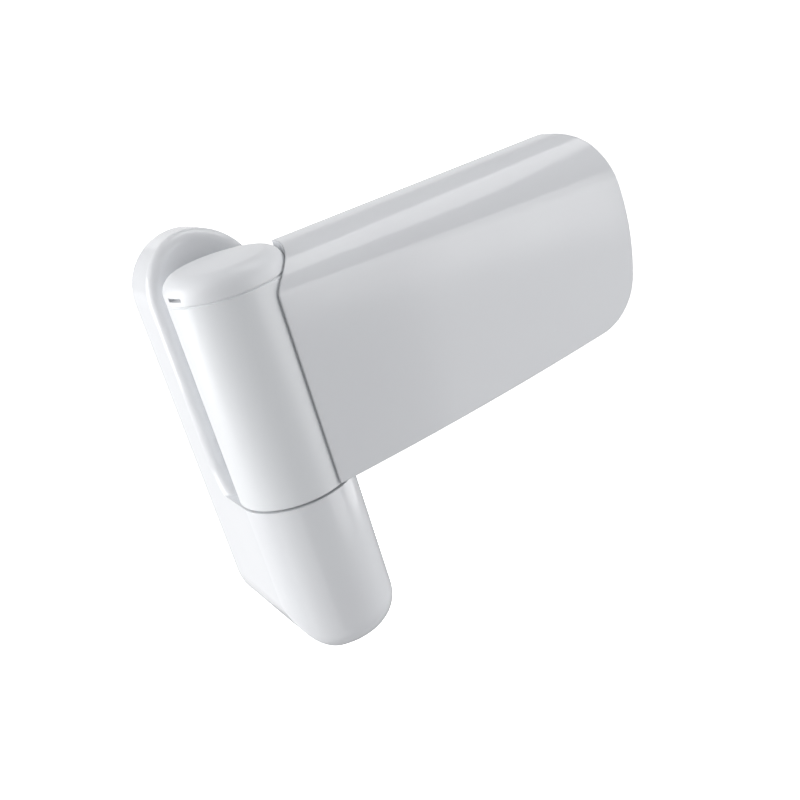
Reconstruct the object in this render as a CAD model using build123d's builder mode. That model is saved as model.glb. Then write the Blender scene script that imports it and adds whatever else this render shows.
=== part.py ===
from build123d import *
from math import asin, degrees
import os

os.makedirs("parts", exist_ok=True)

# Driving dimensions, millimetres and degrees.
# X runs along the closed flag, Y into the door frame, Z up the pin.
# The origin is on the frame's face, behind the pin line, level with the top of the
# lower knuckle. Depths named "front" are measured from the pin line towards the room.

# Pin line and knuckles
pin_setback = 24.0
sash_overlap = 22.0
knuckle_radius = 12.0
knuckle_gap = 0.4
knuckle_height = 43.1
edge_break = 0.3
height_travel = 4.0
lateral_travel = 3.0
quarter_turn = 90.0

# Walls and clearances
cover_wall = 1.5
cover_clearance = 0.2
running_clearance = 0.05
seat_clearance = 0.02
contact_gap = 0.05
slide_gap = 0.1
hand_clearance = 0.3

# Frame leaf
leaf_top = 53.5
leaf_bottom = -35.0
scoop_radius = 15.5
runout_radius = 11.8
runout_height = 7.0
toe_radius = 6.5
rim_radius = 2.0
inner_rim_radius = 0.8
snap_width = 8.0
snap_height = 1.6
snap_depth = 0.6
snap_setback = 7.0
snap_low_rise = 11.0
snap_high_drop = 19.5

# Frame bracket
plate_thickness = 4.0
tray_wall = 2.8
tray_setback = 6.0
barrel_wall = 4.65
barrel_thread_length = 6.0
web_width = 12.0
fixing_radius = 2.4
fixing_head_radius = 4.2
countersink_angle = 90.0
foot_fixing_inset = 7.0
head_fixing_inset = 10.5
fixing_pitch = 16.0

# Pin and its adjusters
pin_radius = 4.5
pin_foot_rise = 18.5
pin_foot_room = 0.5
pin_chamfer = 0.8
pin_flat_depth = 0.6
pin_flat_margin = 0.5
height_screw_radius = 4.0
height_screw_length = 7.0
height_screw_hex = 4.0
height_screw_hex_depth = 3.5
lock_screw_rise = 8.0
lock_screw_radius = 2.5
lock_screw_length = 5.0
lock_screw_hex = 2.5
lock_screw_hex_depth = 2.0
screw_chamfer = 0.4
barrel_bush_radius = 6.0
barrel_bush_length = 5.5
bush_flange_radius = 8.7
plug_hole_radius = 3.5
plug_head_radius = 4.6
plug_head_depth = 1.8
plug_boss_height = 3.4
plug_boss_wall = 2.5
plug_lip = 0.25
plug_length = 5.4
plug_bore_radius = 2.2

# Inside the upper knuckle
bush_radius = 6.5
lower_bush_length = 17.6
lower_bush_flange = 1.2
bush_spacing = 2.0
bush_recess = 0.3
thrust_disc_thickness = 1.5
top_plug_radius = 7.0
top_plug_thickness = 3.0
top_plug_hex = 6.0
top_plug_hex_depth = 2.0
cap_recess_radius = 10.0
cap_recess_depth = 3.2
cap_height = 5.4
cap_crown = 0.8
cap_shoulder_radius = 3.5
cap_lining_rise = 2.0
cap_skirt_wall = 1.6
cap_skirt_length = 2.6
pry_notch_width = 4.0
pry_notch_height = 0.7
pry_notch_rise = 1.2
pry_notch_depth = 1.2
pry_notch_angle = 194.0

# Flag cover
flag_thickness = 13.5
flag_reach = 88.6
low_corner_setback = 7.0
high_corner_setback = 4.6
flag_waist = 25.0
flag_bottom = 0.8
flag_top = 47.9
flag_bottom_bow = 940.0
flag_low_radius = 13.0
flag_high_radius = 6.5
ridge_drop = 7.6
ridge_slope = 0.065
cover_gap = 0.4

# Flag arm
arm_thickness = 5.1
root_length = 5.0
root_ramp = 3.0
root_front_room = 0.5
root_foot_setback = 4.0
root_top_setback = 7.5
tongue_end_room = 17.6
tongue_corner_radius = 4.0
arm_fillet = 2.5
groove_depth = 0.7
groove_height = 1.4

# Sash plate
sash_plate_thickness = 3.5
sash_start_room = 1.1
sash_end_room = 1.0
sash_foot_setback = 4.8
sash_top_setback = 5.5
sash_near_radius = 4.0
sash_far_radius = 11.0
sash_near_inset = 6.0
sash_far_inset = 10.0
sash_edge_inset = 4.9

# Clamp screws
clamp_near_inset = 12.0
clamp_far_inset = 18.0
clamp_radius = 3.0
clamp_head_radius = 5.0
clamp_head_height = 2.6
clamp_hex = 4.0
clamp_hex_depth = 1.6
washer_radius = 6.0
washer_thickness = 1.0
washer_recess_depth = 2.0

# Lateral screw
lateral_rise = 3.0
lateral_radius = 2.5
lateral_neck_radius = 1.6
lateral_collar_radius = 2.7
lateral_collar_thickness = 2.0
lateral_wall = 3.5
lateral_tail = 0.6
lateral_hex = 2.5
lateral_hex_depth = 3.0
lug_room = 1.0
lug_thickness = 4.0
lug_height = 11.0
lug_rise = 7.1
lug_radius = 2.0

# Clips of the flag cover
clip_near_inset = 8.0
clip_far_inset = 11.0
clip_width = 6.0
clip_wall = 1.5
clip_nub = 0.5
clip_nub_height = 1.0
clip_tip_room = 1.0

# Levels and reaches worked out from the sizes above
leaf_width = 2 * knuckle_radius
leaf_height = leaf_top - leaf_bottom
leaf_middle = (leaf_top + leaf_bottom) / 2
belly_level = leaf_bottom + knuckle_radius
snap_levels = (belly_level + snap_low_rise, leaf_top - snap_high_drop)
knuckle_foot = knuckle_gap
knuckle_top = knuckle_foot + knuckle_height
head_fixing_level = leaf_top - head_fixing_inset
fixing_levels = (
    leaf_bottom + foot_fixing_inset,
    head_fixing_level - 2 * fixing_pitch,
    head_fixing_level - fixing_pitch,
    head_fixing_level,
)
bracket_inset = cover_wall + cover_clearance
tray_depth = pin_setback - tray_setback
pin_bore_radius = pin_radius + running_clearance
barrel_radius = pin_bore_radius + barrel_wall
barrel_top = -bracket_inset
pin_foot = leaf_bottom + pin_foot_rise
pin_step = pin_foot - pin_foot_room
lock_screw_level = pin_foot + lock_screw_rise
barrel_foot = pin_step - barrel_thread_length
pin_flat_foot = lock_screw_level - lock_screw_radius - height_travel - pin_flat_margin
pin_flat_top = lock_screw_level + lock_screw_radius + pin_flat_margin
plug_seat = leaf_bottom + plug_head_depth
plug_boss_top = leaf_bottom + plug_boss_height
cap_floor = knuckle_top - cap_recess_depth
top_plug_foot = cap_floor - top_plug_thickness
thrust_disc_foot = top_plug_foot - thrust_disc_thickness
pin_top = thrust_disc_foot - contact_gap
lower_bush_top = knuckle_foot + lower_bush_length
upper_bush_foot = lower_bush_top + bush_spacing
upper_bush_top = thrust_disc_foot - bush_recess
crown_top = knuckle_top + cap_height
shoulder_level = crown_top - cap_crown

flag_back = sash_overlap - pin_setback
flag_front = flag_back + flag_thickness
flag_lining = flag_front - cover_wall
sash_front = flag_back + sash_plate_thickness
arm_back = sash_front + slide_gap
arm_front = arm_back + arm_thickness
root_front = flag_lining - root_front_room
root_foot = knuckle_foot + root_foot_setback
root_top = knuckle_top - root_top_setback
root_reach = knuckle_radius + root_length
tongue_reach = flag_reach - tongue_end_room
sash_foot = flag_bottom + sash_foot_setback
sash_top = flag_top - sash_top_setback
sash_height = sash_top - sash_foot
sash_middle = (sash_foot + sash_top) / 2
sash_hole_spread = sash_height - 2 * sash_edge_inset
tongue_height = sash_hole_spread - 2 * (fixing_head_radius + hand_clearance)
sash_start = knuckle_radius + cover_gap + cover_wall + lateral_travel + sash_start_room
lug_start = tongue_reach + lateral_travel + lug_room
sash_end = lug_start + lug_thickness + sash_end_room
clamp_columns = (sash_start + clamp_near_inset, tongue_reach - clamp_far_inset)
clip_columns = (sash_start + clip_near_inset, tongue_reach - clip_far_inset)
washer_seat = arm_front - washer_recess_depth
washer_back = washer_seat + slide_gap
washer_front = washer_back + washer_thickness
lateral_front = arm_back + lateral_rise
collar_end = tongue_reach - lateral_wall - slide_gap
collar_start = collar_end - lateral_collar_thickness
lateral_thread_start = tongue_reach + slide_gap
lateral_end = lug_start + lug_thickness + lateral_travel + lateral_tail

# Planes and axes
pin_axis = Axis((0, -pin_setback, 0), (0, 0, 1))
pin_plane = Plane(origin=(0, -pin_setback, 0), x_dir=(1, 0, 0), z_dir=(0, 0, 1))
pin_front = Plane(origin=(0, -pin_setback, 0), x_dir=(1, 0, 0), z_dir=(0, -1, 0))
pin_side = Plane(origin=(0, -pin_setback, 0), x_dir=(0, -1, 0), z_dir=(-1, 0, 0))
tongue_side = Plane(origin=(0, -pin_setback, sash_middle), x_dir=(0, -1, 0), z_dir=(-1, 0, 0))
lock_plane = pin_side.offset(barrel_radius)
lateral_axis = Axis((0, -pin_setback - lateral_front, sash_middle), (1, 0, 0))
lateral_front_plane = pin_front.offset(lateral_front)


def frame_form(inset, rim):
    """The frame leaf's closed form, drawn in by an inset from its outer skin."""
    with BuildPart() as form:
        with BuildSketch(Plane.XZ):
            with Locations((0, leaf_middle)):
                SlotOverall(leaf_height - 2 * inset, leaf_width - 2 * inset, rotation=90)
        extrude(amount=pin_setback + knuckle_radius)
        with BuildSketch(pin_plane.offset(leaf_bottom)):
            Circle(knuckle_radius - inset)
            Rectangle(leaf_width - 2 * inset, pin_setback, align=(Align.CENTER, Align.MIN))
        extrude(amount=leaf_height, mode=Mode.INTERSECT)
        with BuildSketch(pin_front):
            with BuildLine():
                toe = CenterArc(
                    (toe_radius - knuckle_radius, leaf_bottom + toe_radius),
                    toe_radius - inset,
                    2 * quarter_turn,
                    quarter_turn,
                )
                Polyline(
                    toe @ 1,
                    (toe_radius - knuckle_radius, leaf_bottom - toe_radius),
                    (-knuckle_radius - toe_radius, leaf_bottom - toe_radius),
                    (-knuckle_radius - toe_radius, leaf_bottom + toe_radius),
                    toe @ 0,
                )
            make_face()
        revolve(axis=pin_axis, revolution_arc=2 * quarter_turn, mode=Mode.SUBTRACT)
        scoop_arc_radius = runout_radius + inset
        scoop_arc_angle = degrees(asin((runout_height + inset) / scoop_arc_radius))
        with BuildSketch(pin_front):
            with BuildLine():
                runout = CenterArc(
                    (scoop_radius - runout_radius, runout_height),
                    scoop_arc_radius,
                    -scoop_arc_angle,
                    scoop_arc_angle,
                )
                Polyline(
                    runout @ 1,
                    (scoop_radius + inset, leaf_top),
                    (0, leaf_top),
                    (0, -inset),
                    runout @ 0,
                )
            make_face()
        revolve(axis=pin_axis, mode=Mode.SUBTRACT)
        rim_edges = (
            form.edges()
            .filter_by_position(Axis.Z, -inset, leaf_top, inclusive=(False, True))
            .filter_by_position(Axis.Y, -pin_setback, -plate_thickness)
            .filter_by(GeomType.CIRCLE, reverse=True)
        )
        side_edges = rim_edges.filter_by(Axis.Z) + rim_edges.filter_by(GeomType.BSPLINE)
        fillet(side_edges, rim)
    return form.part


def flag_form(inset):
    """The flag cover's closed form, drawn in by an inset from its outer skin."""
    end_bow = ThreePointArc(
        (flag_reach - low_corner_setback, flag_bottom),
        (flag_reach, flag_waist),
        (flag_reach - high_corner_setback, flag_top),
    )
    with BuildPart() as form:
        for x in (flag_reach, 0):
            brow_height = ridge_drop + ridge_slope * x
            with BuildSketch(pin_side.offset(-x)):
                with BuildLine():
                    brow = EllipticalCenterArc(
                        (flag_back, flag_top - brow_height - inset),
                        flag_thickness - inset,
                        brow_height,
                        start_angle=0,
                        arc_size=quarter_turn,
                    )
                    Polyline(brow @ 1, (flag_back, 0), (flag_front - inset, 0), brow @ 0)
                make_face()
        loft(ruled=True)
        with BuildSketch(pin_front.offset(flag_back)):
            with Locations(end_bow.arc_center):
                Circle(end_bow.radius - inset)
            with Locations((0, flag_bottom + flag_bottom_bow)):
                Circle(flag_bottom_bow - inset, mode=Mode.INTERSECT)
            Rectangle(
                2 * flag_reach,
                flag_top - inset,
                align=(Align.MIN, Align.MIN),
                mode=Mode.INTERSECT,
            )
            low_corner, high_corner = vertices().sort_by(Axis.X)[-2:].sort_by(Axis.Y)
            fillet(low_corner, flag_low_radius - inset)
            high_corner = vertices().sort_by_distance(high_corner)[0]
            fillet(high_corner, flag_high_radius - inset)
        extrude(amount=flag_thickness, mode=Mode.INTERSECT)
        with BuildSketch(pin_plane):
            Circle(knuckle_radius + cover_gap + inset)
        extrude(amount=flag_top, mode=Mode.SUBTRACT)
    return form.part


def snap_ridges(growth):
    """The ridges that hold the frame cover, grown by a clearance to cut their pockets."""
    lining = knuckle_radius - cover_wall
    foot = snap_height / 2 + growth
    crest = snap_height / 4 + growth
    with BuildPart() as ridges:
        for level in snap_levels:
            with BuildSketch(Plane((0, -snap_setback, level - snap_width / 2 - growth))):
                with BuildLine():
                    Polyline(
                        (lining + cover_wall / 2, -foot),
                        (lining, -foot),
                        (lining - snap_depth - growth, -crest),
                        (lining - snap_depth - growth, crest),
                        (lining, foot),
                        (lining + cover_wall / 2, foot),
                        close=True,
                    )
                make_face()
                mirror(about=Plane.YZ)
            extrude(amount=snap_width + 2 * growth)
    return ridges.part


# The die-cast bracket screwed to the door frame: a back plate in a shallow tray,
# and the barrel that carries the pin
bracket_form = frame_form(bracket_inset, inner_rim_radius)
with BuildPart() as frame_bracket:
    with BuildSketch(Plane.XZ):
        with Locations((0, leaf_middle)):
            SlotOverall(leaf_height, leaf_width, rotation=90)
    extrude(amount=plate_thickness)
    with BuildSketch(Plane.XZ):
        tray_inset = bracket_inset + tray_wall
        with Locations((0, leaf_middle)):
            SlotOverall(leaf_height, leaf_width, rotation=90)
            SlotOverall(
                leaf_height - 2 * tray_inset,
                leaf_width - 2 * tray_inset,
                rotation=90,
                mode=Mode.SUBTRACT,
            )
    extrude(amount=tray_depth)
    with BuildSketch(pin_plane.offset(barrel_foot)):
        Circle(barrel_radius)
        Rectangle(web_width, pin_setback, align=(Align.CENTER, Align.MIN))
    extrude(amount=barrel_top - barrel_foot)
    add(bracket_form, mode=Mode.INTERSECT)
    with Locations(pin_plane.offset(barrel_top)):
        CounterBoreHole(
            radius=pin_bore_radius,
            counter_bore_radius=barrel_bush_radius + seat_clearance,
            counter_bore_depth=barrel_bush_length + barrel_top,
            depth=barrel_top - pin_step,
        )
    with Locations(pin_plane.offset(pin_step)):
        Hole(height_screw_radius + running_clearance, depth=barrel_thread_length)
    with Locations(lock_plane):
        with Locations((0, lock_screw_level)):
            Hole(lock_screw_radius + seat_clearance, depth=barrel_radius)
    with BuildSketch(Plane.XZ.offset(plate_thickness)):
        with Locations(*[(0, level) for level in fixing_levels]):
            Circle(fixing_head_radius + hand_clearance)
    extrude(amount=tray_depth, mode=Mode.SUBTRACT)
    with Locations(Plane.XZ.offset(plate_thickness)):
        with Locations(*[(0, level) for level in fixing_levels]):
            CounterSinkHole(
                radius=fixing_radius,
                counter_sink_radius=fixing_head_radius,
                depth=plate_thickness,
                counter_sink_angle=countersink_angle,
            )
    add(snap_ridges(cover_clearance), mode=Mode.SUBTRACT)
frame_bracket.part.label = "frame_bracket"
export_step(frame_bracket.part, "parts/frame_bracket.step")

# The moulded cover that clips over the bracket, with its scoop for the upper knuckle
cover_form = frame_form(0, rim_radius)
cover_lining = frame_form(cover_wall, inner_rim_radius)
with BuildPart() as frame_cover:
    add(cover_form)
    add(cover_lining, mode=Mode.SUBTRACT)
    with BuildSketch(pin_plane.offset(plug_boss_top)):
        Circle(plug_hole_radius + plug_boss_wall)
    extrude(until=Until.NEXT, dir=(0, 0, -1))
    with Locations(pin_plane):
        Hole(bush_flange_radius + hand_clearance, depth=cover_wall)
    with Locations(pin_plane.offset(leaf_bottom).rotated((180, 0, 0))):
        CounterBoreHole(
            radius=plug_hole_radius,
            counter_bore_radius=plug_head_radius,
            counter_bore_depth=plug_head_depth,
            depth=plug_boss_height,
        )
    add(snap_ridges(0))
frame_cover.part.label = "frame_cover"
export_step(frame_cover.part, "parts/frame_cover.step")

# The plug under the lower knuckle, over the height screw's key way
with BuildPart() as bottom_plug:
    with BuildSketch(pin_front):
        stem = plug_hole_radius - seat_clearance
        with BuildLine():
            Polyline(
                (0, leaf_bottom),
                (plug_head_radius - hand_clearance, leaf_bottom),
                (plug_head_radius - hand_clearance, plug_seat),
                (stem, plug_seat),
                (stem, plug_boss_top + seat_clearance),
                (stem + plug_lip, plug_boss_top + plug_lip),
                (stem, leaf_bottom + plug_length),
                (plug_bore_radius, leaf_bottom + plug_length),
                (plug_bore_radius, plug_seat),
                (0, plug_seat),
                close=True,
            )
        make_face()
    revolve(axis=pin_axis)
    add(cover_form, mode=Mode.INTERSECT)
bottom_plug.part.label = "bottom_plug"
export_step(bottom_plug.part, "parts/bottom_plug.step")

# The flanged bush in the top of the barrel
with BuildPart() as barrel_bush:
    with BuildSketch(pin_plane):
        Circle(bush_flange_radius)
    extrude(amount=barrel_top)
    with BuildSketch(pin_plane):
        Circle(barrel_bush_radius)
    extrude(amount=-barrel_bush_length)
    with Locations(pin_plane):
        Hole(pin_bore_radius, depth=barrel_bush_length)
barrel_bush.part.label = "barrel_bush"
export_step(barrel_bush.part, "parts/barrel_bush.step")

# The grub screw that holds the pin at its height
with BuildPart() as pin_lock_screw:
    with BuildSketch(pin_side.offset(pin_radius - pin_flat_depth + slide_gap)):
        with Locations((0, lock_screw_level)):
            Circle(lock_screw_radius)
    extrude(amount=lock_screw_length)
    chamfer(pin_lock_screw.edges(), screw_chamfer)
    with BuildSketch(pin_lock_screw.faces().sort_by(Axis.X)[0]):
        RegularPolygon(lock_screw_hex / 2, 6, major_radius=False)
    extrude(amount=-lock_screw_hex_depth, mode=Mode.SUBTRACT)
pin_lock_screw.part.label = "pin_lock_screw"
export_step(pin_lock_screw.part, "parts/pin_lock_screw.step")

# The hinge pin, with the flat that the grub screw bears on
with BuildPart() as hinge_pin:
    with BuildSketch(pin_plane.offset(pin_foot)):
        Circle(pin_radius)
    extrude(amount=pin_top - pin_foot)
    chamfer(hinge_pin.edges().filter_by(GeomType.CIRCLE), pin_chamfer)
    with BuildSketch(pin_plane.offset(pin_flat_foot)):
        with Locations((-pin_radius + pin_flat_depth, 0)):
            Rectangle(pin_flat_depth, 2 * pin_radius, align=(Align.MAX, Align.CENTER))
    extrude(amount=pin_flat_top - pin_flat_foot, mode=Mode.SUBTRACT)
hinge_pin.part.label = "hinge_pin"
export_step(hinge_pin.part, "parts/hinge_pin.step")

# The screw that lifts the pin
with BuildPart() as height_screw:
    with BuildSketch(pin_plane.offset(pin_foot - contact_gap)):
        Circle(height_screw_radius)
    extrude(amount=-height_screw_length)
    chamfer(height_screw.edges(), screw_chamfer)
    with BuildSketch(height_screw.faces().sort_by(Axis.Z)[0]):
        RegularPolygon(height_screw_hex / 2, 6, major_radius=False)
    extrude(amount=-height_screw_hex_depth, mode=Mode.SUBTRACT)
height_screw.part.label = "height_screw"
export_step(height_screw.part, "parts/height_screw.step")

# The die-cast flag: the upper knuckle, its root and the tongue that the sash plate
# slides along
with BuildPart() as flag_arm:
    with BuildSketch(pin_front.offset(arm_back)):
        with Locations((0, (root_foot + root_top) / 2)):
            Rectangle(root_reach, root_top - root_foot, align=(Align.MIN, Align.CENTER))
        with Locations((0, sash_middle)):
            Rectangle(tongue_reach, tongue_height, align=(Align.MIN, Align.CENTER))
        fillet(vertices().group_by(Axis.X)[-1], tongue_corner_radius)
        throat = [(root_reach, sash_middle - side * tongue_height / 2) for side in (-1, 1)]
        throat_corners = [vertices().sort_by_distance(corner)[0] for corner in throat]
        fillet(throat_corners, arm_fillet)
    extrude(amount=root_front - arm_back)
    with BuildSketch(pin_plane):
        with BuildLine():
            Polyline(
                (0, -arm_back),
                (tongue_reach, -arm_back),
                (tongue_reach, -arm_front),
                (root_reach + root_ramp, -arm_front),
                (root_reach, -root_front),
                (0, -root_front),
                close=True,
            )
        make_face()
    extrude(amount=knuckle_top, mode=Mode.INTERSECT)
    with BuildSketch(pin_plane.offset(knuckle_foot)):
        Circle(knuckle_radius)
    extrude(amount=knuckle_height)
    knuckle_ends = flag_arm.edges().filter_by(GeomType.CIRCLE).sort_by(Axis.Z)
    chamfer([knuckle_ends[0], knuckle_ends[-1]], edge_break)
    with BuildSketch(pin_plane.offset(knuckle_foot)):
        Circle(bush_radius + seat_clearance)
    extrude(amount=top_plug_foot - knuckle_foot, mode=Mode.SUBTRACT)
    with BuildSketch(pin_plane.offset(knuckle_foot)):
        Circle(bush_flange_radius + seat_clearance)
    extrude(amount=lower_bush_flange, mode=Mode.SUBTRACT)
    with Locations(pin_plane.offset(knuckle_top)):
        CounterBoreHole(
            radius=top_plug_radius + seat_clearance,
            counter_bore_radius=cap_recess_radius + seat_clearance,
            counter_bore_depth=cap_recess_depth,
            depth=cap_recess_depth + top_plug_thickness,
        )
    with BuildSketch(pin_front.offset(arm_front)):
        slot_width = 2 * (clamp_radius + hand_clearance)
        with Locations(*[(column, sash_middle) for column in clamp_columns]):
            SlotOverall(slot_width + 2 * lateral_travel, slot_width)
    extrude(amount=-arm_thickness, mode=Mode.SUBTRACT)
    with BuildSketch(pin_front.offset(arm_front)):
        recess_width = 2 * (washer_radius + hand_clearance)
        with Locations(*[(column, sash_middle) for column in clamp_columns]):
            SlotOverall(recess_width + 2 * lateral_travel, recess_width)
    extrude(amount=-washer_recess_depth, mode=Mode.SUBTRACT)
    with BuildSketch(pin_front.offset(arm_front)):
        with Locations((collar_start - slide_gap, sash_middle)):
            Rectangle(
                lateral_collar_thickness + 2 * slide_gap,
                2 * (lateral_collar_radius + slide_gap),
                align=(Align.MIN, Align.CENTER),
            )
    extrude(amount=-arm_thickness, mode=Mode.SUBTRACT)
    with BuildSketch(pin_side.offset(-tongue_reach)):
        with Locations((lateral_front, sash_middle)):
            Circle(lateral_neck_radius + slide_gap)
            Rectangle(
                arm_thickness,
                2 * (lateral_neck_radius + slide_gap),
                align=(Align.MIN, Align.CENTER),
            )
    extrude(amount=lateral_wall, mode=Mode.SUBTRACT)
    with BuildSketch(pin_front.offset((arm_back + arm_front + groove_height) / 2)):
        for side in (-1, 1):
            with Locations(*[(x, sash_middle + side * tongue_height / 2) for x in clip_columns]):
                Rectangle(clip_width + 2 * hand_clearance, 2 * groove_depth)
    extrude(amount=-groove_height, mode=Mode.SUBTRACT)
flag_arm.part.label = "flag_arm"
export_step(flag_arm.part, "parts/flag_arm.step")

# The flanged bush in the foot of the upper knuckle
with BuildPart() as lower_bush:
    with BuildSketch(pin_plane.offset(knuckle_foot)):
        Circle(bush_flange_radius)
    extrude(amount=lower_bush_flange)
    with BuildSketch(pin_plane.offset(knuckle_foot)):
        Circle(bush_radius)
    extrude(amount=lower_bush_length)
    with Locations(pin_plane.offset(lower_bush_top)):
        Hole(pin_bore_radius, depth=lower_bush_length)
lower_bush.part.label = "lower_bush"
export_step(lower_bush.part, "parts/lower_bush.step")

# The plain bush round the head of the pin
with BuildPart() as upper_bush:
    with BuildSketch(pin_plane.offset(upper_bush_foot)):
        Circle(bush_radius)
        Circle(pin_bore_radius, mode=Mode.SUBTRACT)
    extrude(amount=upper_bush_top - upper_bush_foot)
upper_bush.part.label = "upper_bush"
export_step(upper_bush.part, "parts/upper_bush.step")

# The disc that the flag's weight rests on, over the pin's end
with BuildPart() as thrust_disc:
    with BuildSketch(pin_plane.offset(thrust_disc_foot)):
        Circle(bush_radius - contact_gap)
    extrude(amount=thrust_disc_thickness)
thrust_disc.part.label = "thrust_disc"
export_step(thrust_disc.part, "parts/thrust_disc.step")

# The threaded plug that closes the knuckle over the disc
with BuildPart() as top_plug:
    with BuildSketch(pin_plane.offset(top_plug_foot)):
        Circle(top_plug_radius)
    extrude(amount=top_plug_thickness)
    chamfer(top_plug.edges(), screw_chamfer)
    with BuildSketch(pin_plane.offset(cap_floor)):
        RegularPolygon(top_plug_hex / 2, 6, major_radius=False)
    extrude(amount=-top_plug_hex_depth, mode=Mode.SUBTRACT)
top_plug.part.label = "top_plug"
export_step(top_plug.part, "parts/top_plug.step")

# The snap-in cap, a low crown with a rounded shoulder, and the notch that lifts it out
with BuildPart() as top_cap:
    with BuildSketch(pin_front):
        skirt_outer = cap_recess_radius - seat_clearance
        skirt_inner = skirt_outer - cap_skirt_wall
        skirt_foot = knuckle_top - cap_skirt_length
        lining_edge = (skirt_inner, knuckle_top + cap_lining_rise)
        with BuildLine():
            crown = TangentArc((0, crown_top), (knuckle_radius, shoulder_level), tangent=(1, 0))
            lining = TangentArc((0, crown_top - cover_wall), lining_edge, tangent=(1, 0))
            Polyline(
                crown @ 1,
                (knuckle_radius, knuckle_top + edge_break),
                (knuckle_radius - edge_break, knuckle_top),
                (skirt_outer, knuckle_top),
                (skirt_outer, skirt_foot),
                (skirt_inner, skirt_foot),
                lining @ 1,
            )
            Line(lining @ 0, crown @ 0)
        make_face()
        shoulder = vertices().sort_by_distance((knuckle_radius, shoulder_level))[0]
        fillet(shoulder, cap_shoulder_radius)
    revolve(axis=pin_axis)
    notch_plane = pin_plane.offset(knuckle_top + pry_notch_rise)
    with BuildSketch(notch_plane.rotated((0, 0, pry_notch_angle))):
        with Locations((knuckle_radius, 0)):
            Rectangle(2 * pry_notch_depth, pry_notch_width)
    extrude(amount=pry_notch_height, mode=Mode.SUBTRACT)
top_cap.part.label = "top_cap"
export_step(top_cap.part, "parts/top_cap.step")

# The moulded flag cover, with the clips that hook into the tongue's grooves
flag_form_outer = flag_form(0)
flag_form_inner = flag_form(cover_wall)
with BuildPart() as flag_cover:
    add(flag_form_outer)
    add(flag_form_inner, mode=Mode.SUBTRACT)
    with BuildSketch(pin_plane.offset(root_foot - hand_clearance)):
        with Locations((0, -root_front - hand_clearance)):
            Rectangle(
                root_reach,
                root_front + flag_thickness,
                align=(Align.MIN, Align.MIN),
            )
    extrude(amount=root_top - root_foot + 2 * hand_clearance, mode=Mode.SUBTRACT)
    clip_inside = tongue_height / 2 + slide_gap
    clip_outside = clip_inside + clip_wall
    clip_tip = sash_front + clip_tip_room
    clip_middle = (arm_back + arm_front) / 2
    for column in clip_columns:
        with BuildSketch(tongue_side.offset(-column)):
            with BuildLine():
                Polyline(
                    (flag_front - cover_wall / 2, clip_inside),
                    (clip_middle + clip_nub_height / 2, clip_inside),
                    (clip_middle, clip_inside - clip_nub),
                    (clip_middle - clip_nub_height / 2, clip_inside),
                    (clip_tip, clip_inside),
                    (clip_tip, clip_outside),
                    (flag_front - cover_wall / 2, clip_outside),
                    close=True,
                )
            make_face()
            mirror(about=Plane.XZ)
        extrude(amount=clip_width / 2, both=True)
flag_cover.part.label = "flag_cover"
export_step(flag_cover.part, "parts/flag_cover.step")

# The steel plate screwed to the sash, with the lug that the lateral screw pulls on
with BuildPart() as sash_plate:
    with BuildSketch(pin_front.offset(flag_back)):
        with Locations((sash_start, sash_middle)):
            Rectangle(sash_end - sash_start, sash_height, align=(Align.MIN, Align.CENTER))
        fillet(vertices().group_by(Axis.X)[0], sash_near_radius)
        fillet(vertices().group_by(Axis.X)[-1], sash_far_radius)
    extrude(amount=sash_plate_thickness)
    with BuildSketch(pin_side.offset(-lug_start)):
        with Locations((sash_front, sash_middle)):
            Rectangle(lug_rise, lug_height, align=(Align.MIN, Align.CENTER))
        fillet(vertices().group_by(Axis.X)[-1], lug_radius)
        with Locations((lateral_front, sash_middle)):
            Circle(lateral_radius + running_clearance, mode=Mode.SUBTRACT)
    extrude(amount=-lug_thickness)
    with Locations(pin_front.offset(sash_front)):
        with Locations(((sash_start + sash_near_inset + sash_end - sash_far_inset) / 2, sash_middle)):
            with GridLocations(
                sash_end - sash_far_inset - sash_start - sash_near_inset, sash_hole_spread, 2, 2
            ):
                CounterSinkHole(
                    radius=fixing_radius,
                    counter_sink_radius=fixing_head_radius,
                    depth=sash_plate_thickness,
                    counter_sink_angle=countersink_angle,
                )
        with Locations(*[(column, sash_middle) for column in clamp_columns]):
            Hole(clamp_radius + seat_clearance, depth=sash_plate_thickness)
sash_plate.part.label = "sash_plate"
export_step(sash_plate.part, "parts/sash_plate.step")

# The two screws that clamp the tongue to the sash plate
with BuildPart() as clamp_screws:
    shank_back = sash_front - sash_plate_thickness + hand_clearance
    with BuildSketch(pin_front.offset(shank_back)):
        with Locations(*[(column, sash_middle) for column in clamp_columns]):
            Circle(clamp_radius)
    extrude(amount=washer_front - shank_back)
    with BuildSketch(pin_front.offset(washer_front)):
        with Locations(*[(column, sash_middle) for column in clamp_columns]):
            Circle(clamp_head_radius)
    extrude(amount=clamp_head_height)
    chamfer(clamp_screws.faces().filter_by(Axis.Y).sort_by(Axis.Y)[:2].edges(), screw_chamfer)
    with BuildSketch(pin_front.offset(washer_front + clamp_head_height)):
        with Locations(*[(column, sash_middle) for column in clamp_columns]):
            RegularPolygon(clamp_hex / 2, 6, major_radius=False)
    extrude(amount=-clamp_hex_depth, mode=Mode.SUBTRACT)
clamp_screws.part.label = "clamp_screws"
export_step(clamp_screws.part, "parts/clamp_screws.step")

# Their washers, in the tongue's recesses
with BuildPart() as clamp_washers:
    with BuildSketch(pin_front.offset(washer_back)):
        with Locations(*[(column, sash_middle) for column in clamp_columns]):
            Circle(washer_radius)
            Circle(clamp_radius + running_clearance, mode=Mode.SUBTRACT)
    extrude(amount=washer_thickness)
clamp_washers.part.label = "clamp_washers"
export_step(clamp_washers.part, "parts/clamp_washers.step")

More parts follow.
